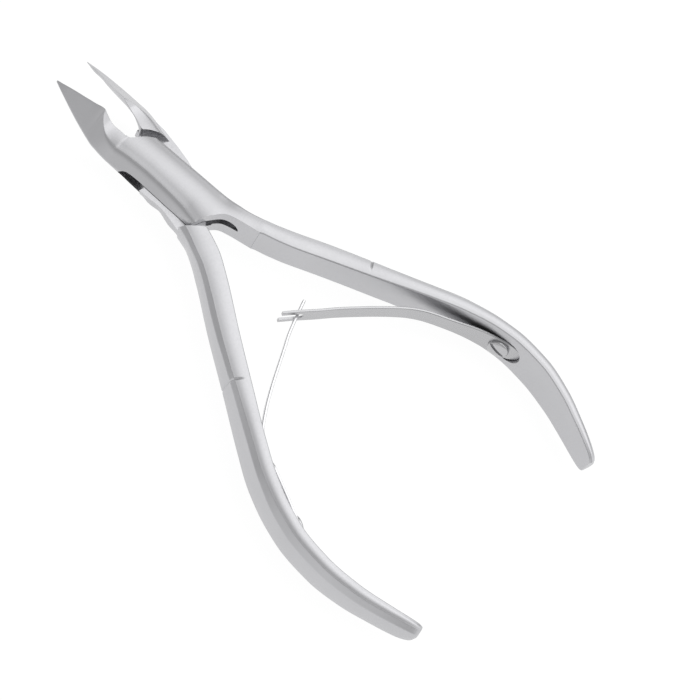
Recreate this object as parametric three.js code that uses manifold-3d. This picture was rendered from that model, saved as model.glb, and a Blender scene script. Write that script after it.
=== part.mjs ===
// Cuticle nipper: two box-jointed halves, a joint pin, two crossed leaf springs and their screws.
// Millimetres. X runs from the jaws (-X) to the handles (+X), Z is the pivot's axis, and the origin
// lies on that axis at the joint's underside. Each half is shaped with the tool closed, about its
// mid-plane, and then turned about the pivot to the open position that the springs hold.
import * as THREE from 'three';
import { mergeVertices } from 'three/addons/utils/BufferGeometryUtils.js';
import Module from 'manifold-3d';

const manifold = await Module();
manifold.setup();

// Joint
const OPEN_HALF_ANGLE = THREE.MathUtils.degToRad(7.9);
const JOINT_HALF_HEIGHT = 3;
const SLOT_HALF_HEIGHT = 1;
const GAP = 0.3;
const TENON_HALF_HEIGHT = SLOT_HALF_HEIGHT - GAP;
const JOINT_TOP_HALF_WIDTH = 3;
const JOINT_HALF_WIDTH = 5.35;
const JOINT_SIDE_HALF_HEIGHT = 0.5;
const JOINT_FRONT_X = -11.3;
const JOINT_REAR_X = 13;
const CHEEK_FRONT = { angle: 145, distance: 9.1 };
const CHEEK_REAR = { angle: -33, distance: 8.2 };
const SHOULDER_FRONT = { angle: 145, distance: 9.4 };
const SHOULDER_REAR = { angle: -33, distance: 8.9 };

// Joint pin
const PIN_RADIUS = 1.6;
const PIN_HALF_LENGTH = 2.2;

// Jaws: a honed edge that rises from the tip to the heel
const TIP_X = -27.5;
const TIP_Z = 1.6;
const HEEL_X = -17.2;
const HEEL_Z = 4.6;
const TIP_LEAN = 0.25;
const EDGE_WIDTH = 0.2;
const MOUTH_CLEARANCE = 0.45;

// Handles: the inner face's line, then stations of distance along it, thickness, height, bevel
const HANDLE_LINE = [
  [8, 1], [13, 1.45], [16, 2.05], [19, 3.05], [22, 4.3], [28.5, 7.3], [38, 11.5], [47.5, 15.7],
  [54, 18.2], [60, 19.65], [64, 20], [69.8, 19.4], [76, 17.55], [81, 15.2], [85.3, 12.9], [87.6, 11.6],
];
const HANDLE_STATIONS = [
  { x: 8, thick: 4.25, height: 6, bevel: 0.8 },
  { x: 16, thick: 4.3, height: 6.05, bevel: 0.85 },
  { x: 24, thick: 4.3, height: 6.05, bevel: 0.9 },
  { x: 34, thick: 3.85, height: 6.3, bevel: 0.85 },
  { x: 46, thick: 3.25, height: 7.2, bevel: 0.95 },
  { x: 53, thick: 3.15, height: 7.7, bevel: 1 },
  { x: 60, thick: 3.05, height: 8.15, bevel: 1.1 },
  { x: 70, thick: 2.85, height: 8.2, bevel: 1.1 },
  { x: 80, thick: 2.5, height: 6.9, bevel: 1 },
  { x: 85, thick: 2.15, height: 5.8, bevel: 0.9 },
  { x: 87.6, thick: 1.5, height: 3.8, bevel: 0.7 },
];
const ROOT_END_X = 17;
const ROOT_BEVEL = 2;
const HANDLE_STEP = 2.5;

// Springs and their screws. A spring's tail lies in a pocket whose floor slants to the handle's face.
const SEAT = new THREE.Vector2(62.2, 19.36);
const SEAT_ANGLE = THREE.MathUtils.degToRad(16);
const SEAT_WIDTH = 6.2;
const SEAT_END = 2.2;
const SEAT_FRONT = 9;
const SPRING_THICKNESS = 0.5;
const SPRING_TAIL = [[66.24, 20.52], [62.2, 19.36], [57.2, 17.92]];
const FORKED_LINE = [
  ...SPRING_TAIL, [52.4, 15.9], [48.5, 14.05], [46.1, 12.45], [44, 10.6], [41.2, 7.8], [38.6, 5],
  [36.1, 2.2], [33.7, -0.75], [31.5, -3.3], [29.3, -6],
];
const TONGUE_LINE = [
  ...SPRING_TAIL, [53.5, 16.9], [50, 15.95], [47.5, 14.95], [45.4, 13.55], [42.8, 10.9], [40.9, 8.65],
  [39, 6.2], [37.2, 3.75], [35.3, 1.15], [33.4, -1.4], [31.3, -4.8], [29.5, -7.9],
];
const TAIL_START_X = 63;
const TAIL_RADIUS = 3.4;
const SPRING_SEAT_WIDTH = 4.8;
const SPRING_ARM_WIDTH = 3.5;
const FORK_SLOT_WIDTH = 1.7;
const FORK_SLOT_END_X = 32.9;
const TONGUE_WIDTH = 1.1;
const TONGUE_ROOT_X = 51;
const SCREW_HEAD_RADIUS = 2.05;
const SCREW_HEAD_HEIGHT = 0.9;
const SCREW_SHANK_RADIUS = 1;
const SCREW_SHANK_LENGTH = 2.2;
const SCREW_SLOT_WIDTH = 0.5;
const SCREW_SLOT_DEPTH = 0.45;

const ROUND_SEGMENTS = 24;

// Closed solid from a geometry
function solid(geometry) {
  const bare = geometry.index ? geometry.toNonIndexed() : geometry.clone();
  for (const name of Object.keys(bare.attributes)) {
    if (name !== 'position') bare.deleteAttribute(name);
  }
  const merged = mergeVertices(bare, 1e-4);
  return new manifold.Manifold(new manifold.Mesh({
    numProp: 3,
    vertProperties: new Float32Array(merged.attributes.position.array),
    triVerts: new Uint32Array(merged.index.array),
  }));
}

function geometryOf(body) {
  const mesh = body.getMesh();
  const geometry = new THREE.BufferGeometry();
  const positions = new Float32Array(mesh.vertProperties);
  geometry.setAttribute('position', new THREE.BufferAttribute(positions, 3));
  geometry.setIndex(new THREE.BufferAttribute(new Uint32Array(mesh.triVerts), 1));
  geometry.computeVertexNormals();
  return geometry;
}

// Loft through rings of equal length; both ends are capped and the faces point outwards
function loft(rings) {
  const count = rings[0].length;
  const triangles = [];
  for (let i = 0; i + 1 < rings.length; i += 1) {
    for (let j = 0; j < count; j += 1) {
      const k = (j + 1) % count;
      triangles.push([rings[i][j], rings[i + 1][j], rings[i + 1][k]]);
      triangles.push([rings[i][j], rings[i + 1][k], rings[i][k]]);
    }
  }
  const cap = (ring, ringOrder) => {
    const flat = ring.map((p) => new THREE.Vector2(p.y, p.z));
    const ringClockwise = THREE.ShapeUtils.isClockWise(flat);
    for (const face of THREE.ShapeUtils.triangulateShape(flat, [])) {
      const clockwise = THREE.ShapeUtils.isClockWise(face.map((index) => flat[index]));
      const [a, b, c] = face.map((index) => ring[index]);
      triangles.push((clockwise === ringClockwise) === ringOrder ? [a, b, c] : [a, c, b]);
    }
  };
  cap(rings[0], true);
  cap(rings[rings.length - 1], false);
  let volume = 0;
  for (const [a, b, c] of triangles) volume += a.dot(b.clone().cross(c));
  const points = triangles.flatMap(([a, b, c]) => (volume > 0 ? [a, b, c] : [a, c, b]));
  return solid(new THREE.BufferGeometry().setFromPoints(points));
}

// Upright prism over an outline in plan
function prism(outline, halfHeight) {
  const shape = new THREE.Shape(outline.map(([x, y]) => new THREE.Vector2(x, y)));
  const geometry = new THREE.ExtrudeGeometry(shape, { depth: 2 * halfHeight, bevelEnabled: false });
  return solid(geometry.translate(0, 0, -halfHeight));
}

// Everything beyond a line in plan that lies at a distance from the pivot, square to an angle
function beyond(line) {
  const size = 200;
  const geometry = new THREE.BoxGeometry(size, size, size);
  geometry.translate(line.distance + size / 2, 0, 0);
  geometry.rotateZ(THREE.MathUtils.degToRad(line.angle));
  return solid(geometry);
}

function uprightCylinder(radius, halfLength) {
  const geometry = new THREE.CylinderGeometry(radius, radius, 2 * halfLength, ROUND_SEGMENTS);
  return solid(geometry.rotateX(Math.PI / 2));
}

function ringAt(x, points, side) {
  return points.map(([y, z]) => new THREE.Vector3(x, y * side, z));
}

// Height of the jaw's edge plane above the mid-plane, which the flank follows at 45 degrees
function edgeHeight(x) {
  return HEEL_Z + ((x - HEEL_X) * (HEEL_Z - TIP_Z)) / (HEEL_X - TIP_X);
}

// Jaw, from the tip to the joint. Points: top inner, crease, outer, bottom outer, bottom inner, hollow.
// The honed edges lean past the closing plane at the tips, which meet first.
function jaw(side) {
  const edge = (x, ...rest) => {
    const z = edgeHeight(x);
    const lean = (TIP_LEAN * (HEEL_X - x)) / (HEEL_X - TIP_X);
    return [x, [-lean, z], [EDGE_WIDTH - lean, z - EDGE_WIDTH], ...rest];
  };
  const sections = [
    edge(TIP_X, [0.2, 1.25], [0.15, 1.1], [0, 1.1], [-0.1, 1.3]),
    edge(-24, [1.75, 0.8], [1.4, 0.2], [1, 0.25], [0.3, 1.6]),
    edge(-20.5, [3.3, 0.3], [2.7, -0.7], [2.1, -0.7], [0.8, 1.6]),
    edge(HEEL_X, [4.5, 0], [3.7, -1.5], [2.9, -1.6], [1.2, 1.8]),
    [-16.2, [MOUTH_CLEARANCE, 3.7], [1.2, 3.7], [4.8, -0.1], [3.9, -1.8], [2.9, -1.9], [1.3, 1]],
    [-15.3, [MOUTH_CLEARANCE, 3], [2.1, 3], [5.1, -0.1], [4, -2], [2.7, -2.15], [1.2, 0.5]],
    [-13, [MOUTH_CLEARANCE, 3], [2.9, 3], [5.5, 0], [4, -2.4], [1.6, -2.7], [0.9, 0]],
    [JOINT_FRONT_X, [0.3, 3], [3, 3], [5.5, 0.3], [3.2, -3], [0.3, -3], [0.3, 0]],
    [-9, [0.3, 3], [3, 3], [5.35, 0.4], [3, -3], [0.3, -3], [0.3, 0]],
  ];
  return loft(sections.map(([x, ...points]) => ringAt(x, points, side)));
}

// Six-sided body of the joint, shared by both halves
function jointBody() {
  const points = [
    [-JOINT_TOP_HALF_WIDTH, JOINT_HALF_HEIGHT],
    [-JOINT_HALF_WIDTH, JOINT_SIDE_HALF_HEIGHT],
    [-JOINT_HALF_WIDTH, -JOINT_SIDE_HALF_HEIGHT],
    [-JOINT_TOP_HALF_WIDTH, -JOINT_HALF_HEIGHT],
    [JOINT_TOP_HALF_WIDTH, -JOINT_HALF_HEIGHT],
    [JOINT_HALF_WIDTH, -JOINT_SIDE_HALF_HEIGHT],
    [JOINT_HALF_WIDTH, JOINT_SIDE_HALF_HEIGHT],
    [JOINT_TOP_HALF_WIDTH, JOINT_HALF_HEIGHT],
  ];
  return loft([ringAt(JOINT_FRONT_X, points, 1), ringAt(JOINT_REAR_X, points, 1)]);
}

function station(x) {
  const last = HANDLE_STATIONS.length - 2;
  const found = HANDLE_STATIONS.findIndex((s, i) => i <= last && x <= HANDLE_STATIONS[i + 1].x);
  const i = found < 0 ? last : found;
  const a = HANDLE_STATIONS[i];
  const b = HANDLE_STATIONS[i + 1];
  const t = THREE.MathUtils.clamp((x - a.x) / (b.x - a.x), 0, 1);
  const mix = (key) => THREE.MathUtils.lerp(a[key], b[key], t);
  return { thick: mix('thick'), height: mix('height'), bevel: mix('bevel') };
}

// Handle: flat inner face, bevelled outer edges, tallest at the grip. The box half's root is bevelled
// as deep as the joint it grows out of.
function handle(side, rootBevel) {
  const line = new THREE.SplineCurve(HANDLE_LINE.map(([x, y]) => new THREE.Vector2(x, y)));
  const steps = Math.round(line.getLength() / HANDLE_STEP);
  const rings = [];
  for (let i = 0; i <= steps; i += 1) {
    const inner = line.getPointAt(i / steps);
    const along = line.getTangentAt(i / steps);
    const { thick, height, bevel } = station(inner.x);
    const half = height / 2;
    const away = THREE.MathUtils.smoothstep(inner.x, HANDLE_LINE[0][0], ROOT_END_X);
    const slope = THREE.MathUtils.lerp(rootBevel ?? bevel, bevel, away);
    const points = [
      [0, half], [0, -half], [thick - slope, -half],
      [thick, slope - half], [thick, half - slope], [thick - slope, half],
    ];
    rings.push(points.map(([out, z]) => new THREE.Vector3(
      inner.x - along.y * out,
      (inner.y + along.x * out) * side,
      z,
    )));
  }
  return loft(rings);
}

// Puts a geometry made about the seat onto one half. Its +X runs along the spring to the tail and its
// +Y into the handle.
function ontoSeat(geometry, side) {
  geometry.rotateZ(SEAT_ANGLE).translate(SEAT.x, SEAT.y, 0);
  return side < 0 ? geometry.rotateX(Math.PI) : geometry;
}

// Flat-bottomed pocket for the spring's tail, with a round end, and the tapped hole
function springSeat(side) {
  const floor = SPRING_THICKNESS / 2 + GAP;
  const depth = 3;
  const length = SEAT_END + SEAT_FRONT;
  const pocket = new THREE.BoxGeometry(length, depth, SEAT_WIDTH);
  pocket.translate(SEAT_END - length / 2, floor - depth / 2, 0);
  const end = new THREE.CylinderGeometry(SEAT_WIDTH / 2, SEAT_WIDTH / 2, depth, ROUND_SEGMENTS);
  end.translate(SEAT_END, floor - depth / 2, 0);
  const radius = SCREW_SHANK_RADIUS + GAP;
  const tapped = new THREE.CylinderGeometry(radius, radius, 3, ROUND_SEGMENTS);
  tapped.translate(0, floor + 0.5, 0);
  return [pocket, end, tapped]
    .map((geometry) => solid(ontoSeat(geometry, side)))
    .reduce((whole, next) => whole.add(next));
}

// Box half: lower jaw, both cheeks of the joint, and the upper handle
function boxHalf() {
  const cheeks = jointBody()
    .intersect(prism([
      [JOINT_FRONT_X - 1, -7], [JOINT_FRONT_X - 1, -0.3], [JOINT_FRONT_X, -0.3], [0, 15],
      [JOINT_REAR_X + 1, 15], [JOINT_REAR_X + 1, 1.5], [10.4, 1.1], [10, -7],
    ], 5))
    .subtract(beyond(CHEEK_FRONT).intersect(prism([[-20, -0.3], [0, -0.3], [0, 20], [-20, 20]], 5)))
    .subtract(beyond(CHEEK_REAR).intersect(prism([[0, -20], [30, -20], [30, 1.1], [0, 1.1]], 5)));
  const slot = prism([
    [-13, 7], [-13, -0.1], [-11.5, -0.1], [-8.6, -5], [-8.6, -7],
    [13.6, -7], [13.6, 2.2], [8.8, 5], [8.8, 7],
  ], SLOT_HALF_HEIGHT);
  const bore = uprightCylinder(PIN_RADIUS + GAP, PIN_HALF_LENGTH + GAP);
  return jaw(-1).add(cheeks).add(handle(1, ROOT_BEVEL)).subtract(slot).subtract(bore).subtract(springSeat(1));
}

// Tenon half: upper jaw, the thin tenon through the box, and the lower handle
function tenonHalf() {
  const tenon = jointBody().intersect(prism([
    [-12.5, 0.45], [-10.9, 0.3], [-3.6, -6.5], [12.5, -6.5],
    [12.5, -1.1], [10.9, -1], [3.6, 6.5], [-12.5, 6.5],
  ], TENON_HALF_HEIGHT));
  const shoulders = jaw(1).intersect(beyond(SHOULDER_FRONT))
    .add(handle(-1).intersect(beyond(SHOULDER_REAR)));
  const bore = uprightCylinder(PIN_RADIUS + GAP, PIN_HALF_LENGTH);
  return shoulders.add(tenon).subtract(bore).subtract(springSeat(-1));
}

// Leaf spring: a flat strip standing across the handle's height, with a hole for its screw
function leafSpring(side, line, widthAt) {
  const curve = new THREE.SplineCurve(line.map(([x, y]) => new THREE.Vector2(x, y)));
  const steps = Math.round(curve.getLength() / 1.5);
  const rings = [];
  for (let i = 0; i <= steps; i += 1) {
    const at = curve.getPointAt(i / steps);
    const along = curve.getTangentAt(i / steps);
    const half = widthAt(at.x) / 2;
    const offset = SPRING_THICKNESS / 2;
    const corners = [[-offset, -half], [offset, -half], [offset, half], [-offset, half]];
    rings.push(corners.map(([out, z]) => new THREE.Vector3(
      at.x - along.y * out,
      (at.y + along.x * out) * side,
      z,
    )));
  }
  const radius = SCREW_SHANK_RADIUS + GAP;
  const hole = new THREE.CylinderGeometry(radius, radius, 3, ROUND_SEGMENTS);
  return loft(rings).subtract(solid(ontoSeat(hole, side)));
}

function armWidth(x) {
  const roundedPart = Math.max(0, x - TAIL_START_X) / TAIL_RADIUS;
  const rounded = Math.sqrt(Math.max(0.1, 1 - roundedPart ** 2));
  const taper = THREE.MathUtils.smoothstep(x, 52, SEAT.x - 1);
  return THREE.MathUtils.lerp(SPRING_ARM_WIDTH, SPRING_SEAT_WIDTH, taper) * rounded;
}

function forkedSpring() {
  const slot = new THREE.BoxGeometry(20, 40, FORK_SLOT_WIDTH);
  slot.translate(FORK_SLOT_END_X - 10, 0, 0);
  return leafSpring(1, FORKED_LINE, armWidth).subtract(solid(slot));
}

function tongueSpring() {
  const width = (x) => {
    const taper = THREE.MathUtils.smoothstep(x, TONGUE_ROOT_X - 1.5, TONGUE_ROOT_X + 1.5);
    return THREE.MathUtils.lerp(TONGUE_WIDTH, armWidth(x), taper);
  };
  return leafSpring(-1, TONGUE_LINE, width);
}

// Domed slotted screw, square to its spring, its head facing the gap between the handles
function springScrew(side) {
  const under = -SPRING_THICKNESS / 2 - GAP;
  const dome = [];
  for (let i = 0; i <= 5; i += 1) {
    const t = (i / 5) * (Math.PI / 2);
    dome.push(new THREE.Vector2(SCREW_HEAD_RADIUS * Math.sin(t), under - SCREW_HEAD_HEIGHT * Math.cos(t)));
  }
  dome[0].x = 0;
  const tip = GAP + SPRING_THICKNESS / 2 + SCREW_SHANK_LENGTH - SPRING_THICKNESS;
  const profile = [
    ...dome, new THREE.Vector2(SCREW_SHANK_RADIUS, under),
    new THREE.Vector2(SCREW_SHANK_RADIUS, tip), new THREE.Vector2(0, tip),
  ];
  const body = new THREE.LatheGeometry(profile, ROUND_SEGMENTS);
  const slot = new THREE.BoxGeometry(6, 2 * SCREW_SLOT_DEPTH, SCREW_SLOT_WIDTH);
  slot.translate(0, under - SCREW_HEAD_HEIGHT, 0).rotateY(0.5);
  return solid(ontoSeat(body, side)).subtract(solid(ontoSeat(slot, side)));
}

const satinSteel = { color: 0xc2c3c7, roughness: 0.38, metalness: 1 };
const springSteel = { color: 0xd0d1d4, roughness: 0.3, metalness: 1 };

function node(name, body, finish) {
  const mesh = new THREE.Mesh(geometryOf(body), new THREE.MeshStandardMaterial(finish));
  mesh.name = name;
  return mesh;
}

const boxSide = new THREE.Group();
boxSide.rotation.z = OPEN_HALF_ANGLE;
boxSide.add(
  node('box_half', boxHalf(), satinSteel),
  node('joint_pin', uprightCylinder(PIN_RADIUS, PIN_HALF_LENGTH), satinSteel),
  node('forked_spring', forkedSpring(), springSteel),
  node('forked_spring_screw', springScrew(1), springSteel),
);

const tenonSide = new THREE.Group();
tenonSide.rotation.z = -OPEN_HALF_ANGLE;
tenonSide.add(
  node('tenon_half', tenonHalf(), satinSteel),
  node('tongue_spring', tongueSpring(), springSteel),
  node('tongue_spring_screw', springScrew(-1), springSteel),
);

const nipper = new THREE.Group();
nipper.name = 'cuticle_nipper';
nipper.position.z = JOINT_HALF_HEIGHT;
nipper.add(boxSide, tenonSide);

export default nipper;
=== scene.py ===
# Cuticle nipper: satin steel halves, crossed leaf springs and their screws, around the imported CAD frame.
# Shapes are written in millimetres with the tool closed, about its mid-plane, and then turned about the
# pivot to the open position that the springs hold.
import math

import bmesh
import bpy
import numpy as np
from mathutils import Matrix, Vector


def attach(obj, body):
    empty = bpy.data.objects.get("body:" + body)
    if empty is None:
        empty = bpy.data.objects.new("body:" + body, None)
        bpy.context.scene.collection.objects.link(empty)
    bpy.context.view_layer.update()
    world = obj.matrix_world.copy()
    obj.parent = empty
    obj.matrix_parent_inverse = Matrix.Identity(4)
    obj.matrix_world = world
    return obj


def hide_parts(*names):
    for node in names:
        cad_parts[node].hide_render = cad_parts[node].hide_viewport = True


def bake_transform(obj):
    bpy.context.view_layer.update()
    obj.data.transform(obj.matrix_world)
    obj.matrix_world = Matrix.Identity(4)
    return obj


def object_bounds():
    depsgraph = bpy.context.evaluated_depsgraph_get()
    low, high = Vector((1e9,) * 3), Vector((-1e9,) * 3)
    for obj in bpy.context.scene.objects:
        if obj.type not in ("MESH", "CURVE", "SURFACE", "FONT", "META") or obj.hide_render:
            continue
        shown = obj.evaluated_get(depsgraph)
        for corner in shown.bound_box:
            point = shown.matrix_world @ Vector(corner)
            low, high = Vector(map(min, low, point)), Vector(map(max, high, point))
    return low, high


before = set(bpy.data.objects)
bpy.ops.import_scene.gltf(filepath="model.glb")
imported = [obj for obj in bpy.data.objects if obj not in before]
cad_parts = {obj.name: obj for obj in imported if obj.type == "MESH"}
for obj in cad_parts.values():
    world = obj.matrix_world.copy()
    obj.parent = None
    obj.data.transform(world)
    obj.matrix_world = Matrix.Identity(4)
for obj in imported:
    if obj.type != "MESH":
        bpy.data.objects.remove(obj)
cad_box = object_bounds()

MM = 0.001
OPEN_HALF_ANGLE = math.radians(7.9)
JOINT_HALF_HEIGHT = 3.0


# ---------------------------------------------------------------- camera
AZIMUTH = math.radians(9.742)
ELEVATION = math.radians(57.388)
ROLL = math.radians(38.831)
AIM = (42.14, 3.95, 3.0)
CAMERA_DISTANCE = 328.26
LENS = 96.39


def make_camera():
    back = Vector((math.cos(ELEVATION) * math.sin(AZIMUTH),
                   -math.cos(ELEVATION) * math.cos(AZIMUTH),
                   math.sin(ELEVATION)))
    flat_right = Vector((math.cos(AZIMUTH), math.sin(AZIMUTH), 0))
    flat_up = back.cross(flat_right)
    right = math.cos(ROLL) * flat_right + math.sin(ROLL) * flat_up
    up = back.cross(right)
    aim = Vector(AIM) * MM
    place = aim + back * CAMERA_DISTANCE * MM
    data = bpy.data.cameras.new("camera")
    data.lens = LENS
    data.sensor_width = 36
    data.clip_start = 0.01
    data.clip_end = 20
    camera = bpy.data.objects.new("camera", data)
    bpy.context.scene.collection.objects.link(camera)
    turn = Matrix((right, up, back)).transposed().to_4x4()
    camera.matrix_world = Matrix.Translation(place) @ turn
    bpy.context.scene.camera = camera


make_camera()


# ---------------------------------------------------------------- curves through key values
def smooth_through(keys, x):
    """Shape-preserving cubic through keys [(x, v0, v1, ...)], evaluated at every x."""
    table = np.array(keys, dtype=float)
    xs, values = table[:, 0], table[:, 1:]
    step = np.diff(xs)[:, None]
    slope = np.diff(values, axis=0) / step
    tangent = np.zeros_like(values)
    before, after = slope[:-1], slope[1:]
    w1 = 2 * step[1:] + step[:-1]
    w2 = step[1:] + 2 * step[:-1]
    same = before * after > 0
    safe_before = np.where(same, before, 1.0)
    safe_after = np.where(same, after, 1.0)
    tangent[1:-1] = np.where(same, (w1 + w2) / (w1 / safe_before + w2 / safe_after), 0.0)
    tangent[0], tangent[-1] = slope[0], slope[-1]
    x = np.clip(np.atleast_1d(x), xs[0], xs[-1])
    i = np.clip(np.searchsorted(xs, x, side="right") - 1, 0, len(xs) - 2)
    h = step[i]
    t = (x[:, None] - xs[i][:, None]) / h
    return ((2 * t**3 - 3 * t**2 + 1) * values[i] + (t**3 - 2 * t**2 + t) * h * tangent[i]
            + (3 * t**2 - 2 * t**3) * values[i + 1] + (t**3 - t**2) * h * tangent[i + 1])


def spline(points, count):
    """Centripetal Catmull-Rom curve through points, as count evenly spaced points."""
    pts = np.array(points, dtype=float)
    pts = np.vstack([2 * pts[0] - pts[1], pts, 2 * pts[-1] - pts[-2]])
    out = []
    for a, b, c, d in zip(pts[:-3], pts[1:-2], pts[2:-1], pts[3:]):
        t0 = 0.0
        t1 = t0 + np.linalg.norm(b - a) ** 0.5
        t2 = t1 + np.linalg.norm(c - b) ** 0.5
        t3 = t2 + np.linalg.norm(d - c) ** 0.5
        for t in np.linspace(t1, t2, 40, endpoint=False):
            a1 = (t1 - t) / (t1 - t0) * a + (t - t0) / (t1 - t0) * b
            a2 = (t2 - t) / (t2 - t1) * b + (t - t1) / (t2 - t1) * c
            a3 = (t3 - t) / (t3 - t2) * c + (t - t2) / (t3 - t2) * d
            b1 = (t2 - t) / (t2 - t0) * a1 + (t - t0) / (t2 - t0) * a2
            b2 = (t3 - t) / (t3 - t1) * a2 + (t - t1) / (t3 - t1) * a3
            out.append((t2 - t) / (t2 - t1) * b1 + (t - t1) / (t2 - t1) * b2)
    out.append(pts[-2])
    out = np.array(out)
    far = np.concatenate([[0], np.cumsum(np.linalg.norm(np.diff(out, axis=0), axis=1))])
    at = np.linspace(0, far[-1], count)
    return np.column_stack([np.interp(at, far, out[:, k]) for k in range(out.shape[1])])


def smoothstep(x, a, b):
    t = np.clip((x - a) / (b - a), 0, 1)
    return t * t * (3 - 2 * t)


# ---------------------------------------------------------------- sections and meshes
EDGE_STEPS = 8
FILLET_STEPS = 4
FILLET_SHARE = 0.42  # the most of an edge that one fillet takes up
ROUND_SEGMENTS = 48
WELD_DISTANCE = 1e-5
TINY = 1e-9


def rounded_section(corners, radii, bulges):
    """Closed section through corners, with a fillet at each and a crown along each edge."""
    count = len(corners)
    corners = np.array(corners, dtype=float)
    inward, outward, reach = [], [], []
    for i in range(count):
        a = corners[i - 1] - corners[i]
        b = corners[(i + 1) % count] - corners[i]
        la, lb = np.linalg.norm(a), np.linalg.norm(b)
        a, b = a / max(la, TINY), b / max(lb, TINY)
        turn = math.acos(float(np.clip(-np.dot(a, b), -1, 1)))
        limit = FILLET_SHARE * min(la, lb)
        reach.append(min(radii[i] * math.tan(turn / 2), limit))
        inward.append(a)
        outward.append(b)
    points = []
    for i in range(count):
        start = corners[i] + inward[i] * reach[i]
        end = corners[i] + outward[i] * reach[i]
        for k in range(FILLET_STEPS + 1):
            t = k / FILLET_STEPS
            points.append((1 - t) ** 2 * start + 2 * t * (1 - t) * corners[i] + t**2 * end)
        j = (i + 1) % count
        far = corners[j] + inward[j] * reach[j]
        along = far - end
        normal = np.array([along[1], -along[0]])
        length = np.linalg.norm(along)
        normal = normal / max(length, TINY)
        for k in range(1, EDGE_STEPS):
            t = k / EDGE_STEPS
            points.append(end + along * t + normal * bulges[i] * 4 * t * (1 - t))
    return np.array(points)


def mesh_object(name, verts, faces):
    mesh = bpy.data.meshes.new(name)
    mesh.from_pydata([tuple(v) for v in verts], [], faces)
    bm = bmesh.new()
    bm.from_mesh(mesh)
    bmesh.ops.remove_doubles(bm, verts=bm.verts, dist=WELD_DISTANCE)
    bmesh.ops.recalc_face_normals(bm, faces=bm.faces)
    bm.to_mesh(mesh)
    bm.free()
    obj = bpy.data.objects.new(name, mesh)
    bpy.context.scene.collection.objects.link(obj)
    return obj


def loft(name, rings):
    rings = np.array(rings)
    count, size = rings.shape[:2]
    faces = []
    for i in range(count - 1):
        for j in range(size):
            k = (j + 1) % size
            faces.append((i * size + j, i * size + k, (i + 1) * size + k, (i + 1) * size + j))
    faces.append(tuple(range(size))[::-1])
    faces.append(tuple((count - 1) * size + j for j in range(size)))
    return mesh_object(name, rings.reshape(-1, 3), faces)


def prism(name, outline, low, high):
    count = len(outline)
    verts = [(x, y, low) for x, y in outline] + [(x, y, high) for x, y in outline]
    faces = [tuple(range(count))[::-1], tuple(range(count, 2 * count))]
    faces += [(i, (i + 1) % count, (i + 1) % count + count, i + count) for i in range(count)]
    return mesh_object(name, verts, faces)


def cylinder(name, radius, low, high):
    angles = [2 * math.pi * i / ROUND_SEGMENTS for i in range(ROUND_SEGMENTS)]
    return prism(name, [(radius * math.cos(a), radius * math.sin(a)) for a in angles], low, high)


def round_end(centre_x, radius, steps):
    """Points of a half circle that bulges towards +X, without its two ends."""
    angles = [-math.pi / 2 + math.pi * i / steps for i in range(1, steps)]
    return [(centre_x + radius * math.cos(a), radius * math.sin(a)) for a in angles]


def combine(obj, other, operation):
    """Boolean of obj with other, which is used up."""
    modifier = obj.modifiers.new("combine", "BOOLEAN")
    modifier.operation = operation
    modifier.solver = "MANIFOLD"
    modifier.object = other
    apply_modifiers(obj)
    bpy.data.objects.remove(other, do_unlink=True)
    return obj


def cut(obj, tool):
    return combine(obj, tool, "DIFFERENCE")


def apply_modifiers(obj):
    bpy.context.view_layer.update()
    evaluated = obj.evaluated_get(bpy.context.evaluated_depsgraph_get())
    mesh = bpy.data.meshes.new_from_object(evaluated)
    obj.modifiers.clear()
    old = obj.data
    obj.data = mesh
    bpy.data.meshes.remove(old)


# ---------------------------------------------------------------- shape tables
# A jaw's row is x and then eight corners, each its distance from the closing plane and its height. They
# go round the section: inner top, crease, outer, lower outer, bottom outer, bottom inner, hollow low and
# hollow high.
TIP_X = -27.55
HEEL_X = -17.2
HEEL_Z = 4.6
EDGE_SLOPE = 0.2913


def jaw_tip(lean):
    """The tip's corners, close round the edge, which reaches past the closing plane by the lean."""
    offsets = ((0, 1.75), (0.03, 1.7), (0.15, 1.58), (0.17, 1.48),
               (0.15, 1.4), (0.09, 1.4), (0.05, 1.5), (0.01, 1.62))
    return [TIP_X, *[(n - lean, z) for n, z in offsets]]


def flank(x, lean, crease, outer, *rest):
    """The honed edge, and the crease on the flank, which falls at 45 degrees from the edge."""
    edge = HEEL_Z + EDGE_SLOPE * (x - HEEL_X)
    return [x, (-lean, edge + lean * 0.4), (crease - lean, edge - crease + lean), outer, *rest]


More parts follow.
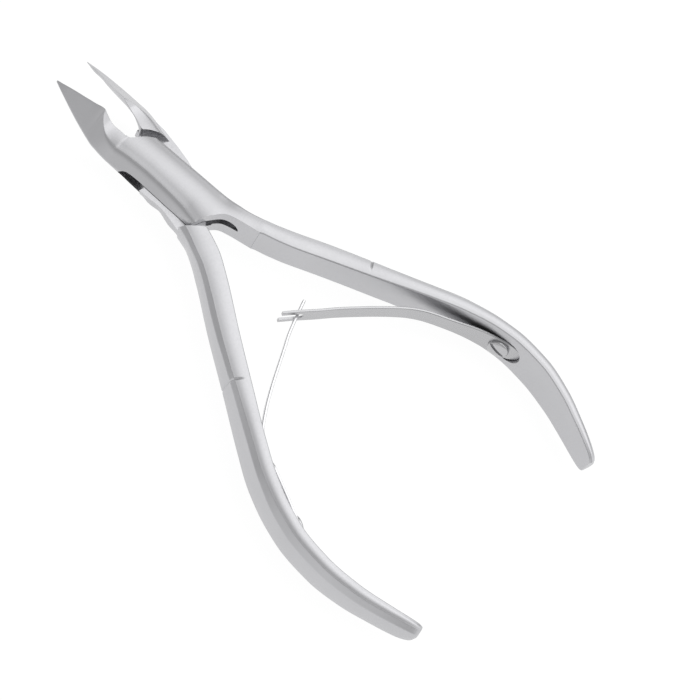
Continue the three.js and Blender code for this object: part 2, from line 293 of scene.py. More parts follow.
BOX_JAW = [
    jaw_tip(0.34),
    flank(-25.6, 0.36, 0.08, (0.75, 1.4), (0.68, 1.25), (0.5, 0.95), (0.4, 0.95), (0.1, 1.25), (-0.12, 1.72)),
    flank(-24.0, 0.39, 0.1, (1.44, 1.18), (1.3, 0.95), (1.05, 0.55), (0.95, 0.55), (0.6, 0.95), (0.05, 1.85)),
    flank(-21.8, 0.37, 0.12, (2.36, 0.9), (2.1, 0.45), (1.7, -0.1), (1.55, -0.12), (1.1, 0.6), (0.15, 2.25)),
    flank(-19.8, 0.35, 0.12, (3.15, 0.69), (2.8, 0.15), (2.3, -0.6), (2.1, -0.6), (1.5, 0.4), (0.2, 2.65)),
    [-17.4, (-0.32, 4.74), (-0.18, 4.68), (4.01, 0.53), (3.6, -0.1),
     (2.75, -1.45), (2.6, -1.48), (2.05, 0.15), (0.25, 3.0)],
    [-17.15, (-0.33, 4.65), (0.1, 4.5), (4.1, 0.51), (3.7, -0.1),
     (2.8, -1.5), (2.6, -1.55), (2.1, 0.1), (0.25, 2.95)],
    [-16.85, (-0.31, 4.3), (0.55, 4.12), (4.2, 0.5), (3.75, -0.15),
     (2.85, -1.6), (2.65, -1.65), (2.1, 0.05), (0.25, 2.85)],
    [-16.35, (-0.26, 3.88), (1.1, 3.74), (4.37, 0.48), (3.9, -0.25),
     (2.95, -1.75), (2.7, -1.8), (2.1, 0.0), (0.25, 2.6)],
    [-15.5, (-0.14, 3.34), (1.85, 3.23), (4.63, 0.46), (4.1, -0.4),
     (3.05, -2.0), (2.75, -2.05), (2.1, -0.2), (0.36, 2.2)],
    [-14.5, (-0.02, 3.05), (2.55, 2.86), (4.82, 0.48), (4.25, -0.4),
     (3.05, -2.3), (2.7, -2.35), (2.0, -0.4), (0.45, 2.1)],
    [-13.0, (-0.06, 3.0), (3.15, 2.7), (5.0, 0.4), (4.4, -0.55),
     (3.0, -2.7), (2.3, -2.75), (1.5, -0.5), (0.35, 1.7)],
    [-11.9, (0.0, 3.0), (3.35, 2.67), (5.08, 0.36), (4.45, -0.6),
     (3.05, -2.82), (1.6, -2.92), (0.9, -0.5), (0.25, 1.6)],
]
TENON_JAW = [
    jaw_tip(0.1),
    flank(-25.6, 0.1, 0.08, (1.1, 1.3), (0.95, 0.9), (0.65, 0.68), (0.45, 0.75), (0.2, 1.2), (-0.04, 1.75)),
    flank(-24.0, 0.08, 0.1, (1.95, 0.95), (1.65, 0.45), (1.25, 0.2), (1.15, 0.25), (0.78, 0.85),
          (0.12, 1.95)),
    flank(-21.8, 0.04, 0.12, (2.9, 0.55), (2.5, -0.05), (2.05, -0.42), (1.85, -0.38), (1.15, 0.5),
          (0.22, 2.3)),
    flank(-19.8, 0.0, 0.12, (3.65, 0.3), (3.2, -0.4), (2.65, -0.9), (2.35, -0.88), (1.5, 0.4), (0.3, 2.65)),
    [-17.4, (0.04, 4.55), (0.17, 4.45), (4.4, 0.1), (3.95, -0.75),
     (3.5, -1.5), (3.3, -1.5), (2.05, 0.15), (0.38, 3.05)],
    [-17.1, (0.06, 4.52), (0.38, 4.34), (4.47, 0.1), (4.0, -0.8),
     (3.55, -1.6), (3.4, -1.6), (2.15, 0.1), (0.42, 3.0)],
    [-16.75, (0.1, 4.2), (0.85, 4.02), (4.55, 0.1), (4.05, -0.9),
     (3.65, -1.68), (3.45, -1.68), (2.2, 0.05), (0.48, 2.85)],
    [-16.3, (0.22, 3.8), (1.3, 3.64), (4.68, 0.08), (4.2, -1.0),
     (3.8, -1.85), (3.55, -1.85), (2.25, 0.0), (0.6, 2.65)],
    [-15.5, (0.42, 3.28), (1.98, 3.15), (4.9, 0.05), (4.4, -1.25),
     (3.9, -2.15), (3.7, -2.1), (2.35, -0.2), (0.85, 2.25)],
    [-14.5, (0.45, 3.06), (2.5, 2.88), (5.05, 0.05), (4.55, -1.45),
     (3.9, -2.4), (3.65, -2.35), (2.35, -0.4), (0.95, 2.1)],
    [-13.0, (0.36, 3.0), (2.98, 2.73), (5.13, 0.08), (4.6, -1.6),
     (3.8, -2.65), (3.2, -2.75), (1.75, -0.5), (0.76, 1.7)],
    [-11.9, (0.12, 3.0), (3.12, 2.71), (5.12, 0.15), (4.6, -1.7),
     (3.75, -2.78), (2.2, -2.9), (1.0, -0.5), (0.4, 1.6)],
]

# Joint sections: x, crease y z, outer y z, lower outer y z, bottom y z on the jaw's side
BOX_JOINT = [
    (-11.3, -3.3, 2.68, -5.1, 0.35, -4.5, -0.6, -3.08, -2.82),
    (-10.4, -3.15, 2.71, -5.1, 0.28, -4.5, -0.65, -3.15, -2.8),
    (-8.8, -2.98, 2.74, -5.05, 0.25, -4.45, -0.85, -3.2, -2.78),
    (-6.0, -2.88, 2.75, -4.75, 0.45, -4.6, -0.85, -3.4, -2.75),
    (-2.0, -3.0, 2.735, -4.85, 0.45, -4.72, -1.0, -3.65, -2.7),
    (3.0, -3.45, 2.65, -5.0, 0.4, -4.8, -1.0, -3.9, -2.6),
    (8.0, -4.5, 2.42, -4.85, 0.5, -4.8, -0.8, -4.3, -2.5),
]
TENON_JOINT = [
    (-11.3, -3.14, 2.71, -5.08, 0.2, -4.6, -1.72, -3.8, -2.8),
    (-10.4, -3.14, 2.71, -4.95, 0.2, -4.6, -1.7, -3.85, -2.78),
    (-8.8, -3.2, 2.7, -4.92, 0.15, -4.7, -1.5, -4.0, -2.72),
    (-6.0, -3.3, 2.68, -5.25, 0.1, -4.9, -1.3, -4.2, -2.6),
]
JOINT_SIDE_Y = 4.85
CROWN_WIDTH = 4.5
CROWN_DROP = 0.6
CREASE_RADIUS = 1.7


def crown_bulge(width):
    """How far the crown rises above a chord of the given width."""
    return CROWN_DROP / CROWN_WIDTH**2 * width**2 / 4


HANDLE_LINE = [
    (8, 1.0), (10.4, 1.1), (13, 1.45), (16, 2.05), (19, 3.05), (22, 4.3), (28.5, 7.3), (38, 11.5),
    (47.5, 15.7), (54, 18.2), (60, 19.65), (64, 20.0), (69.8, 19.4), (76, 17.55), (81, 15.2),
    (85.3, 12.9), (88, 11.35),
]
# x, crease distance, thickness above and below, drop of the bevel, height
HANDLE_KEYS = [
    (-2, 3.3, 6.2, 4.7, 0.80, 6.0), (-0.1, 3.2, 5.5, 4.15, 0.80, 6.0), (2.3, 3.0, 4.5, 3.5, 0.80, 6.0),
    (5.2, 2.9, 3.85, 3.75, 0.80, 6.0), (8, 3.05, 3.95, 3.2, 0.80, 6.0), (11, 3.4, 4.15, 3.2, 0.85, 6.0),
    (14.3, 3.6, 4.3, 3.6, 0.85, 6.05), (17.7, 3.6, 4.32, 4.0, 0.9, 6.05), (24, 3.5, 4.3, 4.15, 0.95, 6.05),
    (34, 3.15, 3.85, 3.8, 0.85, 6.3), (40, 2.8, 3.5, 3.6, 0.95, 6.7), (46, 2.45, 3.25, 3.4, 1.0, 7.2),
    (53, 2.3, 3.15, 3.2, 1.0, 7.7), (60, 2.1, 3.05, 2.85, 1.3, 8.15), (70, 2.0, 2.85, 2.5, 1.3, 8.2),
    (80, 1.7, 2.5, 2.4, 1.2, 6.9), (85, 1.35, 2.15, 2.4, 1.05, 5.85), (86.6, 1.15, 1.95, 2.2, 1.0, 5.15),
    (87.3, 0.95, 1.75, 1.95, 0.95, 4.5), (87.7, 0.75, 1.4, 1.5, 0.85, 3.7),
]
HANDLE_END_X = 87.7
# x, and how far the handle's inner edge stands off the base line near the joint
BOX_INNER = [(8, 0.4), (17, 0.4), (22, 0.1), (26, 0.0), (90, 0.0)]
# x, and how much the box half's handle is thinner than the tenon half's
BOX_SLIM = [(8, 0.35), (22, 0.35), (30, 0.2), (40, 0.0), (90, 0.0)]
TENON_INNER = [(-5, -0.3), (8, -0.3), (13, -0.35), (17, -0.1), (21, 0.0), (90, 0.0)]
# x, and how far the inner face is crowned towards the spring
FACE_CROWN = [(-5, 0.0), (46, 0.0), (52, 0.3), (60, 0.45), (66, 0.3), (72, 0.0), (90, 0.0)]


def base_line(x):
    keys = [(-40, 0), (-11, 0), (0, 0.6)] + HANDLE_LINE
    return smooth_through(keys, x)[:, 0]


def handle_corners(crease, thick, low, drop, height, inner, crown):
    half = height / 2
    face = inner - crown
    return [(crease, half - 0.14), (inner, half), (face, half * 0.35), (face, -half * 0.35),
            (inner, -half), (crease - 0.1 + (low - thick) * 0.6, 0.14 - half),
            (low, drop + 0.3 - half), (thick, half - drop - 0.14)]


RADII_HANDLE = [0.14, 0.26, 0.5, 0.5, 0.26, 0.14, 0.6, 0.6]
BULGE_HANDLE = [0.12, 0, 0, 0, 0.12, 0.0, 0.12, 0.0]
RADII_JAW = [0.08, 0.12, 0.3, 0.6, 0.5, 0.2, 0.6, 0.4]
BULGE_JAW = [0.0, 0.0, 0.0, 0.05, 0.0, -0.1, -0.1, 0.0]
HONED_RADIUS = 0.05
TIP_SHARPNESS = 0.1


def flat_key(x, corners, radii, bulges):
    """One key row: corners, radii and bulges, and the top's and bottom's curves as quadratics."""
    curves = []
    for right, left, bulge in ((0, 1, bulges[0]), (5, 4, -bulges[4])):
        (n0, z0), (n1, z1) = corners[right], corners[left]
        width = max(n0 - n1, 1e-3) if right == 0 else n0 - n1
        bend = -4 * bulge / width**2
        slope = (z0 - z1) / width - bend * (n0 + n1)
        start = z0 - slope * n0 - bend * n0**2
        curves += [start, slope, bend]
    # rings_along takes the row apart again at ROW_PARTS
    return (x, *[v for corner in corners for v in corner], *radii, *bulges, *curves)


ROW_PARTS = (16, 24, 32, 35)


def jaw_rows(keys):
    rows = []
    for x, *corners in keys:
        behind_heel = float(smoothstep(np.array(x), -16.5, -12.0))
        bulges = list(BULGE_JAW)
        bulges[0] = crown_bulge(corners[1][0] - corners[0][0]) * behind_heel
        radii = list(RADII_JAW)
        radii[1] = HONED_RADIUS + (CREASE_RADIUS - HONED_RADIUS) * behind_heel
        if x == TIP_X:
            radii = [r * TIP_SHARPNESS for r in radii]
            bulges = [b * TIP_SHARPNESS for b in bulges]
        rows.append(flat_key(x, [(-o - float(base_line(x)[0]), z) for o, z in corners], radii, bulges))
    return rows


HANDLE_STATIONS = (-2, -0.1, 2.3, 5.2, 8, 11, 14.3, 17.7, 20, 24, 29, 34, 40, 46, 53, 60, 65, 70, 75, 80,
                   83, 85, 86.6, 87.3, HANDLE_END_X)


def handle_rows(first_x, inner_keys, slim=()):
    xs = [x for x in HANDLE_STATIONS if x >= first_x]
    rows = []
    for x, sizes, inner in zip(xs, smooth_through(HANDLE_KEYS, xs), smooth_through(inner_keys, xs)):
        if slim:
            sizes[:3] -= smooth_through(slim, [x])[0]
        crown = smooth_through(FACE_CROWN, [x])[0][0]
        rows.append(flat_key(x, handle_corners(*sizes, inner[0], crown), RADII_HANDLE, BULGE_HANDLE))
    return rows


def rings_along(rows, xs, mirror, ramp=(9.0, 19.0), groove_x=None):
    """Rings of a half. Rows hold distances from the base line, which each ring's plane crosses squarely."""
    table = smooth_through(rows, xs)
    base = base_line(xs)
    slope = np.gradient(base, np.array(xs))
    rings = []
    for x, y, k, row in zip(xs, base, slope, table):
        corners, radii, bulges, top, bottom = np.split(row, ROW_PARTS)
        corners = corners.reshape(8, 2)
        for corner, curve in ((0, top), (1, top), (4, bottom), (5, bottom)):
            n = corners[corner, 0]
            corners[corner, 1] = curve[0] + curve[1] * n + curve[2] * n * n
        bulges[0] = -top[2] * (corners[0, 0] - corners[1, 0]) ** 2 / 4
        bulges[4] = bottom[2] * (corners[4, 0] - corners[5, 0]) ** 2 / 4
        section = rounded_section(corners, radii, bulges)
        angle = math.atan(k) * float(smoothstep(np.array(x), *ramp))
        if groove_x:
            section = cut_groove(x, section, groove_x)
        ring = [(x - math.sin(angle) * out, (y + math.cos(angle) * out) * mirror, z) for out, z in section]
        rings.append(ring)
    return rings


GROOVE_BOX_X = 36.25
GROOVE_TENON_X = 37.25
GROOVE_WIDTH = 0.15
GROOVE_DEPTH = 0.16
HANDLE_CORE = (1.6, 0.0)


def cut_groove(x, section, groove_x):
    """Shallow file mark across the outer half of the handle."""
    near = math.exp(-((x - groove_x) / GROOVE_WIDTH) ** 2)
    if near < 0.01:
        return section
    outer = smoothstep(section[:, 0], 1.0, 2.4)
    inward = np.array(HANDLE_CORE) - section
    inward /= np.linalg.norm(inward, axis=1)[:, None]
    return section + inward * (GROOVE_DEPTH * near * outer)[:, None]


RING_STEP = 0.5
# Where rings stand closer: middle, half width and step
FINE_HEEL = (-16.8, 1.2, 0.08)
FINE_MOUTH = (-11.6, 0.4, 0.04)
FINE_ROOT = (8.0, 0.5, 0.1)
FINE_END = (87.0, 0.7, 0.1)
FINE_BOX_GROOVE = (GROOVE_BOX_X, 0.5, 0.04)
FINE_TENON_GROOVE = (GROOVE_TENON_X, 0.5, 0.04)


def ring_stations(start, end, *fine_stretches):
    count = int(round((end - start) / RING_STEP)) + 1
    xs = set(np.round(np.linspace(start, end, count), 5))
    for middle, width, fine in fine_stretches:
        xs |= set(np.round(np.arange(middle - width, middle + width + fine / 2, fine), 5))
    return np.array(sorted(x for x in xs if start <= x <= end))


def joint_row(x, right_y=4.5, right_z=2.41, side_z=0.6):
    """Section of the joint, about the pivot, with its right side given."""
    left = smooth_through(BOX_JOINT, [x])[0]
    base = float(base_line(x)[0])
    corners = [(right_y, right_z), (left[0], left[1]), (left[2], left[3]), (left[4], left[5]),
               (left[6], left[7]), (right_y, -right_z), (JOINT_SIDE_Y, -side_z), (JOINT_SIDE_Y, side_z)]
    steep = float(smoothstep(np.array(x), -11.3, -5.0))
    radii = [1.0, CREASE_RADIUS, 0.3 + 0.5 * steep, 0.6 + 0.2 * steep, 0.5, 1.0, 0.8, 0.8]
    crown = crown_bulge(right_y - left[0])
    bulges = [crown, 0.0, 0.0, 0.0, crown, 0.05, 0, 0.05]
    return flat_key(x, [(y - base, z) for y, z in corners], radii, bulges)


ROOT_TOP_Z = 2.98
# x, crease distance and height, outer distance and height, radius, left distance, bend of the top
BOX_ROOT = [
    (11.0, 3.4, 2.66, 3.95, 1.3, 0.75, -3.6, -0.0346), (13.0, 3.2, 2.76, 3.85, 1.65, 0.45, -2.0, -0.0346),
    (15.0, 3.22, 2.83, 3.9, 1.85, 0.3, -0.8, -0.035),
]


def box_root_rows():
    """Where the joint's crown runs out into the upper handle; the left side is trimmed later."""
    rows = [joint_row(8.0, right_y=4.45, right_z=2.43, side_z=0.8)]
    for x, crease, crease_z, outer, outer_z, radius, left, bend in BOX_ROOT:
        slope = (crease_z - ROOT_TOP_Z) / crease - bend * crease
        left_z = ROOT_TOP_Z + slope * left + bend * left**2
        corners = [(crease, crease_z), (left, left_z), (left, 1.0), (left, -1.0), (left, -left_z),
                   (crease, -crease_z), (outer, -outer_z), (outer, outer_z)]
        bulge = -bend * (crease - left) ** 2 / 4
        radii = [radius, 0.5, 0.5, 0.5, 0.5, radius, 0.8, 0.8]
        rows.append(flat_key(x, corners, radii, [bulge, 0, 0, 0, bulge, 0.05, 0, 0.05]))
    return rows


def curve_outline(points, steps):
    return [tuple(p) for p in spline(points, steps * (len(points) - 1) + 1)]


SEAT = (62.2, 19.36)
SEAT_ANGLE = math.radians(16)
SPRING_THICKNESS = 0.5


def onto_seat(obj, side):
    """Moves a piece made about the seat onto a half: +X to the spring's tail, +Y into the handle."""
    matrix = Matrix.Translation((SEAT[0], SEAT[1], 0)) @ Matrix.Rotation(SEAT_ANGLE, 4, "Z")
    if side < 0:
        matrix = Matrix.Rotation(math.pi, 4, "X") @ matrix
    obj.data.transform(matrix)
    return obj


def stand(obj):
    """Turns a prism made in plan so that its length lies along Y, and its plan's Y along Z."""
    obj.data.transform(Matrix.Rotation(math.pi / 2, 4, "X"))
    return obj


def spring_seat(side):
    """Milled pocket with a round end for the spring's tail."""
    front, end, half = -9.0, 1.88, 2.47
    outline = [(front, -half), (end, -half), *round_end(end, half, 24), (end, half), (front, half)]
    depth = SPRING_THICKNESS / 2 + 0.06
    return onto_seat(stand(prism("pocket", outline, -depth, 3.0 - depth)), side)


SLOT_HALF_HEIGHT = 1
TENON_HALF_HEIGHT = 0.9


def pivot_hole():
    return cylinder("pivot_hole", 1.9, -2.5, 2.5)


def box_half():
    rows = jaw_rows(BOX_JAW)
    rows += [joint_row(x) for x, *_ in BOX_JOINT[:-1]]
    rows += box_root_rows()
    rows += handle_rows(17, BOX_INNER, BOX_SLIM)
    xs = ring_stations(TIP_X, HANDLE_END_X, FINE_HEEL, FINE_MOUTH, FINE_ROOT, FINE_BOX_GROOVE, FINE_END)
    half = loft("box_half_look", rings_along(rows, xs, 1, groove_x=GROOVE_BOX_X))
    front = curve_outline([(-12.3, 0.06), (-11.6, 0.1), (-11.1, 0.3), (-10.5, 1.0), (-9.6, 2.4), (-8.7, 3.5),
                           (-7.5, 4.4), (-6.6, 4.9), (-5.0, 5.9)], 4)
    cut(half, prism("front", front + [(-5, 9), (-13, 9), (-13, 0.06)], -6, 8))
    rear = curve_outline([(6.7, -6.2), (7.1, -4.8), (7.7, -3.2), (8.2, -1.9), (8.9, -0.8), (9.7, 0.35),
                          (10.4, 1.05), (11.2, 1.45), (13, 1.95), (15, 2.36), (16.9, 2.72)], 5)
    cut(half, prism("rear", rear + [(17.0, 2.6), (17.0, -6.2)], -6, 6))
    slot = [(-13, 8), (-13, -0.1), (-11.5, -0.1), (-9.35, -3.6), (9.3, -3.6), (9.3, 3.4), (8.6, 5), (8.6, 8)]
    cut(half, prism("slot", slot, -SLOT_HALF_HEIGHT, SLOT_HALF_HEIGHT))
    # the slot's side opening, rounded down at its front end
    side = [(9.4, -1), (9.4, 1), (-6.8, 1), (-7.6, 0.93), (-8.2, 0.7), (-8.6, 0.35), (-8.85, -0.1), (-9, -1)]
    cut(half, stand(prism("side", side, 3.5, 8)))
    # its rear end, under the upper handle
    rear_end = [(9.2, -0.55), (9.2, 1.0), (11.3, 1.0), (12.1, 0.9), (12.8, 0.6), (13.3, 0.15), (13.55, -0.4),
                (13.5, -0.55)]
    cut(half, stand(prism("rear_end", rear_end, -3.0, 8)))
    cut(half, pivot_hole())
    return cut(half, spring_seat(1))


def tenon_half():
    rows = jaw_rows(TENON_JAW)
    for x, *left in TENON_JOINT:
        base = float(base_line(x)[0])
        corners = [(-0.15, 3.0), (left[0], left[1]), (left[2], left[3]), (left[4], left[5]),
                   (left[6], left[7]), (-0.15, -2.98), (-0.15, -1), (-0.15, 1)]
        crown = crown_bulge(left[0] + 0.15)
        bulges = [crown, 0, 0, 0, crown, 0, 0, 0]
        radii = [0.1, CREASE_RADIUS, 0.3, 0.6, 0.5, 0.1, 0.1, 0.1]
        rows.append(flat_key(x, [(y - base, z) for y, z in corners], radii, bulges))
    xs = ring_stations(TIP_X, -6, FINE_HEEL)
    half = loft("tenon_half_look", rings_along(rows, xs, -1))
    shoulder = curve_outline([(-12.2, 0.0), (-11.6, 0.1), (-11.1, 0.35), (-10.8, 0.9), (-10.36, 1.6),
                              (-9.8, 2.3), (-9.3, 2.85), (-8.5, 3.6), (-7.6, 4.6), (-6.0, 6.6)], 4)
    cut(half, prism("shoulder", shoulder + [(-4, 6.6), (-4, -1), (-12.2, -1)], -6, 8))

    xs = ring_stations(-2, HANDLE_END_X, FINE_TENON_GROOVE, FINE_END)
    rings = rings_along(handle_rows(-2, TENON_INNER), xs, -1, ramp=(-2.0, 9.0), groove_x=GROOVE_TENON_X)
    handle = loft("handle", rings)
    step = [(-4, -9), (6.6, -9), (6.9, -6.4), (7.4, -5.2), (8.2, -3.9), (9.0, -2.6), (9.7, -1.4),
            (10.2, -0.85), (10.8, -0.8), (11.0, 1), (-4, 1)]
    for low, high in ((TENON_HALF_HEIGHT, 6), (-6, -TENON_HALF_HEIGHT)):
        cut(handle, prism("step", step, low, high))
    cut(handle, prism("inner", [(-4, -0.3), (10.4, -0.3), (10.4, 3), (-4, 3)], -6, 6))

    plate = [(-12.2, 0.45), (-10.9, 0.3), (-6.3, -3.2), (-4.2, -4.2), (-3.0, -4.9), (-2.0, -5.3),
             (-1.0, -5.45), (0, -5.4), (0.8, -5.2), (2.3, -4.6), (5.2, -4.3), (7, -4.3), (9.15, -4.2),
             (9.15, 0.35), (4.2, 4.5), (0, 4.9), (-3, 5.2), (-6, 5.2), (-10, 5.0), (-12.2, 4.6)]
    combine(half, prism("plate", plate, -TENON_HALF_HEIGHT, TENON_HALF_HEIGHT), "UNION")
    tail = [(9.0, -4.0), (12.4, -4.0), (12.4, -1.4), (10.9, -1.05), (9.2, 0.35), (9.0, 0.3)]
    combine(half, prism("tail", tail, -0.45, TENON_HALF_HEIGHT), "UNION")
    combine(half, handle, "UNION")
    cut(half, pivot_hole())
    return cut(half, spring_seat(-1))


def place(obj, side):
    """Closed millimetres about the mid-plane to the row's frame in metres."""
    turn = Matrix.Rotation(OPEN_HALF_ANGLE * side, 4, "Z")
    lift = Matrix.Translation((0, 0, JOINT_HALF_HEIGHT))
    obj.data.transform(Matrix.Scale(MM, 4) @ lift @ turn)
    obj.data.update()


SHARP_ANGLE = math.radians(30)


def shade(obj):
    obj.data.shade_smooth()
    obj.data.set_sharp_from_angle(angle=SHARP_ANGLE)
    weighted = obj.modifiers.new("weighted", "WEIGHTED_NORMAL")
    weighted.keep_sharp = True
    weighted.weight = 60


# ---------------------------------------------------------------- springs and screws
SPRING_TAIL = [(66.24, 20.52), (62.2, 19.36), (57.2, 17.92)]
FORKED_LINE = [
    *SPRING_TAIL, (52.4, 15.9), (48.5, 14.05), (46.1, 12.45), (44, 10.6), (41.2, 7.8), (38.6, 5),
    (36.1, 2.2), (33.7, -0.75), (31.5, -3.3), (29.3, -6),
]
TONGUE_LINE = [
    *SPRING_TAIL, (53.5, 16.9), (50, 15.95), (47.5, 14.95), (45.4, 13.55), (42.8, 10.9), (40.9, 8.65),
    (39, 6.2), (37.2, 3.75), (35.3, 1.15), (33.4, -1.4), (31.3, -4.8), (29.5, -7.9),
]
SPRING_EASE = 0.1
TAIL_START_X = 63.0
TAIL_LENGTH = 3.3
ARM_HALF_WIDTH = 1.75
SEAT_WIDENING = 0.65
TONGUE_HALF_WIDTH = 0.55
FORK_SLOT_END_X = 32.3
FORK_SLOT_RADIUS = 0.85


def arm_half_width(x):
    tail = max(0.0, x - TAIL_START_X) / TAIL_LENGTH
    rounded = math.sqrt(max(0.0, 1 - tail**2))
    taper = float(smoothstep(np.array(x), 52, 61))
    return max(0.12, (ARM_HALF_WIDTH + SEAT_WIDENING * taper) * rounded)


def tongue_half_width(x):
    taper = float(smoothstep(np.array(x), 49.5, 52.5))
    return TONGUE_HALF_WIDTH + (arm_half_width(x) - TONGUE_HALF_WIDTH) * taper


def spring(name, line, half_width, mirror):
    """Strip that stands across the handle's height, with eased edges."""
    path = spline(line, 170)
    along = np.gradient(path, axis=0)
    along /= np.linalg.norm(along, axis=1)[:, None]
    rings = []
    half = SPRING_THICKNESS / 2
    ease = SPRING_EASE
    for (x, y), (dx, dy) in zip(path, along):
        w = half_width(x)
        outline = [(-half, -w + ease), (-half + ease, -w), (half - ease, -w), (half, -w + ease),
                   (half, 0), (half, w - ease), (half - ease, w), (-half + ease, w), (-half, w - ease),
                   (-half, 0)]
        rings.append([(x - dy * out, (y + dx * out) * mirror, z) for out, z in outline])
    return loft(name, rings)


def forked_spring():
    strip = spring("forked_spring_look", FORKED_LINE, arm_half_width, 1)
    radius = FORK_SLOT_RADIUS
    centre = FORK_SLOT_END_X - radius
    outline = [(20, -radius), (centre, -radius), *round_end(centre, radius, 12),
               (centre, radius), (20, radius)]
    return cut(strip, stand(prism("fork_slot", outline, -15, 15)))


HEAD_RADIUS = 2.05
HEAD_HEIGHT = 0.92
HEAD_RIM = 0.3
SHANK_RADIUS = 1.0
SHANK_END = 2.0
DOME_STEPS = 14
SCREW_SLOT_HALF_WIDTH = 0.3
SCREW_SLOT_DEPTH = 0.5
SCREW_SLOT_TURN = 0.5


def screw(name, side):
    """Domed head with a straight slot, square to the spring, on a plain shank."""
    under = -SPRING_THICKNESS / 2 - 0.02
    profile = [(0.0, under - HEAD_HEIGHT)]
    for i in range(1, DOME_STEPS + 1):
        t = i / DOME_STEPS * math.pi / 2
        dome = (HEAD_HEIGHT - HEAD_RIM) * math.cos(t) ** 0.9
        profile.append((HEAD_RADIUS * math.sin(t) ** 0.85, under - HEAD_RIM - dome))
    profile += [(HEAD_RADIUS, under), (SHANK_RADIUS, under), (SHANK_RADIUS, SHANK_END), (0.0, SHANK_END)]
    verts, faces = [], []
    count = ROUND_SEGMENTS
    for radius, y in profile:
        for i in range(count):
            a = 2 * math.pi * i / count
            verts.append((radius * math.cos(a), y, radius * math.sin(a)))
    for j in range(len(profile) - 1):
        for i in range(count):
            k = (i + 1) % count
            faces.append((j * count + i, j * count + k, (j + 1) * count + k, (j + 1) * count + i))
    body = mesh_object(name, verts, faces)
    wide, deep = SCREW_SLOT_HALF_WIDTH, SCREW_SLOT_DEPTH
    cutter = prism("screw_slot", [(-3, -wide), (3, -wide), (3, wide), (-3, wide)], -deep, deep)
    cutter.data.transform(Matrix.Translation((0, under - HEAD_HEIGHT, 0))
                          @ Matrix.Rotation(SCREW_SLOT_TURN, 4, "Y")
                          @ Matrix.Rotation(math.pi / 2, 4, "X"))
    return onto_seat(cut(body, cutter), side)


# ---------------------------------------------------------------- materials
LINE_SCALE = 5200
LINE_STRETCH = (1.0, 0.06, 0.12)
SPECK_SCALE = 4200
CLOUD_SCALE = 130
BUMP_DEPTH = 0.00002
ROUGHNESS_SPREAD = 0.04


def steel(name, colour, roughness, turn, brush, grain):
    """Satin steel: fine marks across the tool, and a light uneven polish."""
    material = bpy.data.materials.new(name)
    material.use_nodes = True
    tree = material.node_tree
    nodes, links = tree.nodes, tree.links
    shader = nodes["Principled BSDF"]
    shader.inputs["Metallic"].default_value = 1.0
    coordinates = nodes.new("ShaderNodeTexCoord")
    mapping = nodes.new("ShaderNodeMapping")
    mapping.inputs["Rotation"].default_value = (0, 0, -turn)
    links.new(coordinates.outputs["Object"], mapping.inputs["Vector"])

    def noise(scale, detail, stretch=None):
        node = nodes.new("ShaderNodeTexNoise")
        node.inputs["Scale"].default_value = scale
        node.inputs["Detail"].default_value = detail
        if stretch:
            scaled = nodes.new("ShaderNodeVectorMath")
            scaled.operation = "MULTIPLY"
            scaled.inputs[1].default_value = stretch
            links.new(mapping.outputs["Vector"], scaled.inputs[0])
            links.new(scaled.outputs["Vector"], node.inputs["Vector"])
        else:
            links.new(mapping.outputs["Vector"], node.inputs["Vector"])
        return node

    lines = noise(LINE_SCALE, 2, stretch=LINE_STRETCH)
    specks = noise(SPECK_SCALE, 3)
    clouds = noise(CLOUD_SCALE, 3)

    mix = nodes.new("ShaderNodeMix")
    mix.data_type = "RGBA"
    mix.inputs[6].default_value = (*[c * 0.955 for c in colour], 1)
    mix.inputs[7].default_value = (*[min(1, c * 1.04) for c in colour], 1)
    links.new(clouds.outputs["Fac"], mix.inputs[0])
    links.new(mix.outputs[2], shader.inputs["Base Color"])

    spread = nodes.new("ShaderNodeMapRange")
    spread.inputs["From Min"].default_value = 0.3
    spread.inputs["From Max"].default_value = 0.7
    spread.inputs["To Min"].default_value = roughness - ROUGHNESS_SPREAD
    spread.inputs["To Max"].default_value = roughness + ROUGHNESS_SPREAD
    links.new(specks.outputs["Fac"], spread.inputs["Value"])
    links.new(spread.outputs["Result"], shader.inputs["Roughness"])

    def bump(strength, height):
        node = nodes.new("ShaderNodeBump")
        node.inputs["Strength"].default_value = strength
        node.inputs["Distance"].default_value = BUMP_DEPTH
        links.new(height.outputs["Fac"], node.inputs["Height"])
        return node

    bump_lines = bump(brush, lines)
    bump_specks = bump(grain, specks)
    links.new(bump_lines.outputs["Normal"], bump_specks.inputs["Normal"])
    links.new(bump_specks.outputs["Normal"], shader.inputs["Normal"])
    return material


SATIN = (0.52, 0.52, 0.535)
FORKED_SPRING = (0.47, 0.47, 0.48)
TONGUE_SPRING = (0.7, 0.7, 0.71)
SCREW = (0.5, 0.5, 0.51)


def finish_piece(obj, body, node, material, side):
    """The springs have no body: they are left unattached, and their transforms are baked below."""
    place(obj, side)
    shade(obj)
    obj.data.materials.clear()
    obj.data.materials.append(material)
    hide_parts(node)
    if body:
        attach(obj, body)


box_steel = steel("satin_box", SATIN, 0.33, OPEN_HALF_ANGLE, 0.35, 0.3)
tenon_steel = steel("satin_tenon", SATIN, 0.33, -OPEN_HALF_ANGLE, 0.35, 0.3)
forked_steel = steel("forked_spring_satin", FORKED_SPRING, 0.27, 0, 0.15, 0.15)
tongue_steel = steel("tongue_spring_satin", TONGUE_SPRING, 0.27, 0, 0.1, 0.1)
screw_steel = steel("screw_satin", SCREW, 0.24, 0, 0.15, 0.2)

finish_piece(box_half(), "box_side", "box_half", box_steel, 1)
finish_piece(tenon_half(), "tenon_side", "tenon_half", tenon_steel, -1)
finish_piece(screw("forked_spring_screw_look", 1), "box_side", "forked_spring_screw",
             screw_steel, 1)
finish_piece(screw("tongue_spring_screw_look", -1), "tenon_side", "tongue_spring_screw",
             screw_steel, -1)


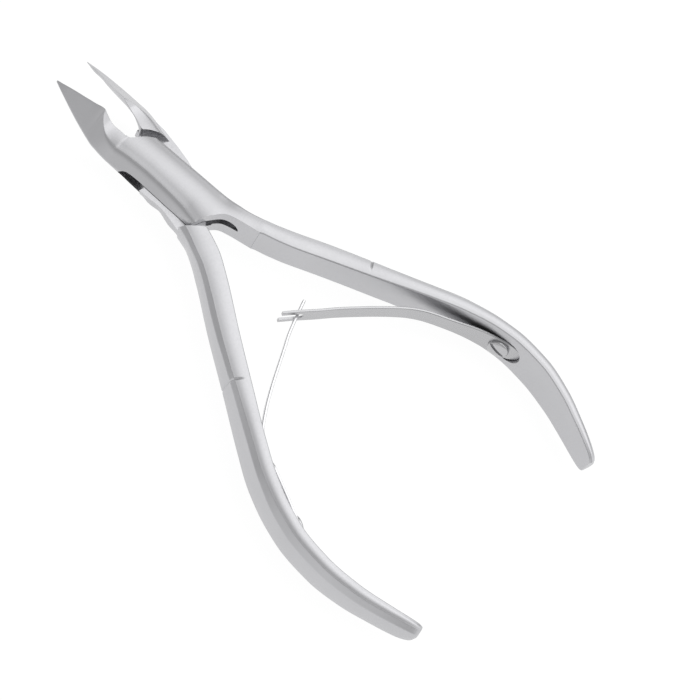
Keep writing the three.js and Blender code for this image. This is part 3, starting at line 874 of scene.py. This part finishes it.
forked = forked_spring()
finish_piece(forked, None, "forked_spring", forked_steel, 1)
tongue = spring("tongue_spring_look", TONGUE_LINE, tongue_half_width, -1)
finish_piece(tongue, None, "tongue_spring", tongue_steel, -1)
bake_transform(forked)
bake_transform(tongue)

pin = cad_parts["joint_pin"]
pin.data.materials.clear()
pin.data.materials.append(steel("pin_satin", SATIN, 0.36, OPEN_HALF_ANGLE, 0.1, 0.3))


# ---------------------------------------------------------------- floor and light
FLOOR_GAP = 0.0002
FLOOR_HALF_SIZE = 3.0


def floor():
    low = cad_box[0][2] - FLOOR_GAP
    size = FLOOR_HALF_SIZE
    mesh = bpy.data.meshes.new("floor")
    mesh.from_pydata([(-size, -size, low), (size, -size, low), (size, size, low), (-size, size, low)], [],
                     [(0, 1, 2, 3)])
    obj = bpy.data.objects.new("floor", mesh)
    bpy.context.scene.collection.objects.link(obj)
    material = bpy.data.materials.new("floor_paper")
    material.use_nodes = True
    shader = material.node_tree.nodes["Principled BSDF"]
    shader.inputs["Base Color"].default_value = (0.12, 0.12, 0.12, 1)
    shader.inputs["Roughness"].default_value = 0.9
    shader.inputs["Specular IOR Level"].default_value = 0.1
    shader.inputs["Emission Color"].default_value = (1, 1, 1, 1)
    shader.inputs["Emission Strength"].default_value = 0.93
    mesh.materials.append(material)


def lobe(tree, direction, outer, inner, strength):
    """Soft patch of light in the sky: full inside the inner angle, gone past the outer one."""
    nodes, links = tree.nodes, tree.links
    x, y, z = Vector(direction).normalized()
    facing = nodes.new("ShaderNodeVectorMath")
    facing.operation = "DOT_PRODUCT"
    facing.inputs[1].default_value = (x, y, z)
    links.new(nodes["Texture Coordinate"].outputs["Generated"], facing.inputs[0])
    spread = nodes.new("ShaderNodeMapRange")
    spread.interpolation_type = "LINEAR"
    spread.inputs["From Min"].default_value = math.cos(math.radians(outer))
    spread.inputs["From Max"].default_value = math.cos(math.radians(inner))
    spread.inputs["To Max"].default_value = strength
    links.new(facing.outputs["Value"], spread.inputs["Value"])
    return spread.outputs["Result"]


def toward(degrees):
    """Direction at an angle from straight up, towards the viewer's side (-Y) when positive."""
    a = math.radians(degrees)
    return (0, -math.sin(a), math.cos(a))


SKY_BASE = 0.55
# direction, outer and inner angle in degrees, strength
SKY_LOBES = ((toward(-36), 35, 3, 1.25), (toward(78), 46, 8, 0.32), ((0.78, 0.42, 0.45), 45, 8, 0.75))


def studio():
    world = bpy.data.worlds.new("studio")
    bpy.context.scene.world = world
    world.use_nodes = True
    tree = world.node_tree
    tree.nodes.new("ShaderNodeTexCoord")
    total = None
    for direction, outer, inner, strength in SKY_LOBES:
        value = lobe(tree, direction, outer, inner, strength)
        add = tree.nodes.new("ShaderNodeMath")
        tree.links.new(value, add.inputs[0])
        if total is None:
            add.inputs[1].default_value = SKY_BASE
        else:
            tree.links.new(total, add.inputs[1])
        total = add.outputs["Value"]
    background = tree.nodes["Background"]
    background.inputs["Color"].default_value = (1, 1, 1, 1)
    tree.links.new(total, background.inputs["Strength"])


floor()
studio()
scene = bpy.context.scene
scene.view_settings.view_transform = "Standard"
scene.view_settings.look = "None"
